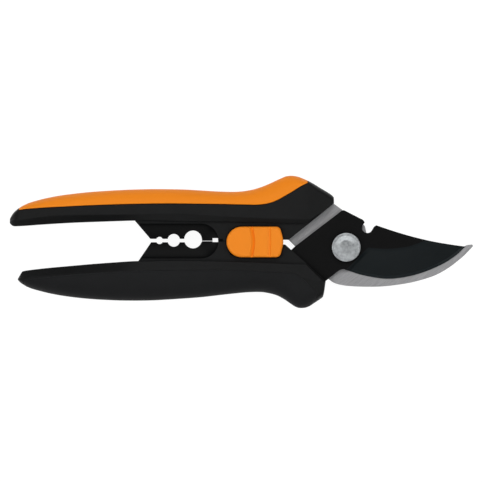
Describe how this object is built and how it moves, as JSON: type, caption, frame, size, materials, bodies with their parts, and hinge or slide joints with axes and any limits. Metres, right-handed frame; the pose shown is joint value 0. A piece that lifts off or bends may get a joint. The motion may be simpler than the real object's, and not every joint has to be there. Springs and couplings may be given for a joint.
{
  "type": "bypass pruner",
  "caption": "Small bypass hand pruner with a sliding lock, stem stripping holes in the handle webs, and two curved blades on a riveted pivot.",
  "frame": {"origin": "centre of the flat rear end of the pivot rivet", "axes": "+X towards the blade tips, +Y towards the upper handle, +Z towards the front, where the rivet head and the lock slide are"},
  "size_m": [0.1852, 0.0529, 0.0156],
  "materials": {
    "handle": "fine grained black nylon",
    "orange_grip": "smooth satin soft grip",
    "soft_grip": "matt soft grip",
    "coated_blade": "black low friction coating",
    "blade_steel": "ground steel",
    "zinc": "mottled zinc plate",
    "spring_steel": "bright drawn steel",
    "bronze": "plain bearing bronze",
    "slide_button": "smooth satin orange plastic"
  },
  "bodies": {
    "lower_half": {"lower_handle": "handle", "lower_grip": "soft_grip", "front_blade": "coated_blade", "pivot_rivet": "zinc", "pivot_collar": "zinc", "tension_washer": "spring_steel", "stop_pin": "zinc", "lower_tang_pin_1": "zinc", "lower_tang_pin_2": "zinc", "return_spring": "spring_steel"},
    "upper_half": {"upper_handle": "handle", "upper_grip": "orange_grip", "rear_blade": "blade_steel", "pivot_bush": "bronze", "keeper_pin": "zinc", "upper_tang_pin_1": "zinc", "upper_tang_pin_2": "zinc"},
    "lock": {"lock_slider": "slide_button", "lock_foot": "spring_steel"}
  },
  "joints": [
    {"name": "blade_pivot", "type": "hinge", "parent": "lower_half", "child": "upper_half", "pos_m": [0, 0, 0.00415], "axis": [0, 0, -1], "range_deg": [0, 26], "deforming": ["return_spring"]},
    {"name": "lock_slide", "type": "slide", "parent": "lower_half", "child": "lock", "axis": [-1, 0, 0], "range_m": [0, 0.005]}
  ]
}
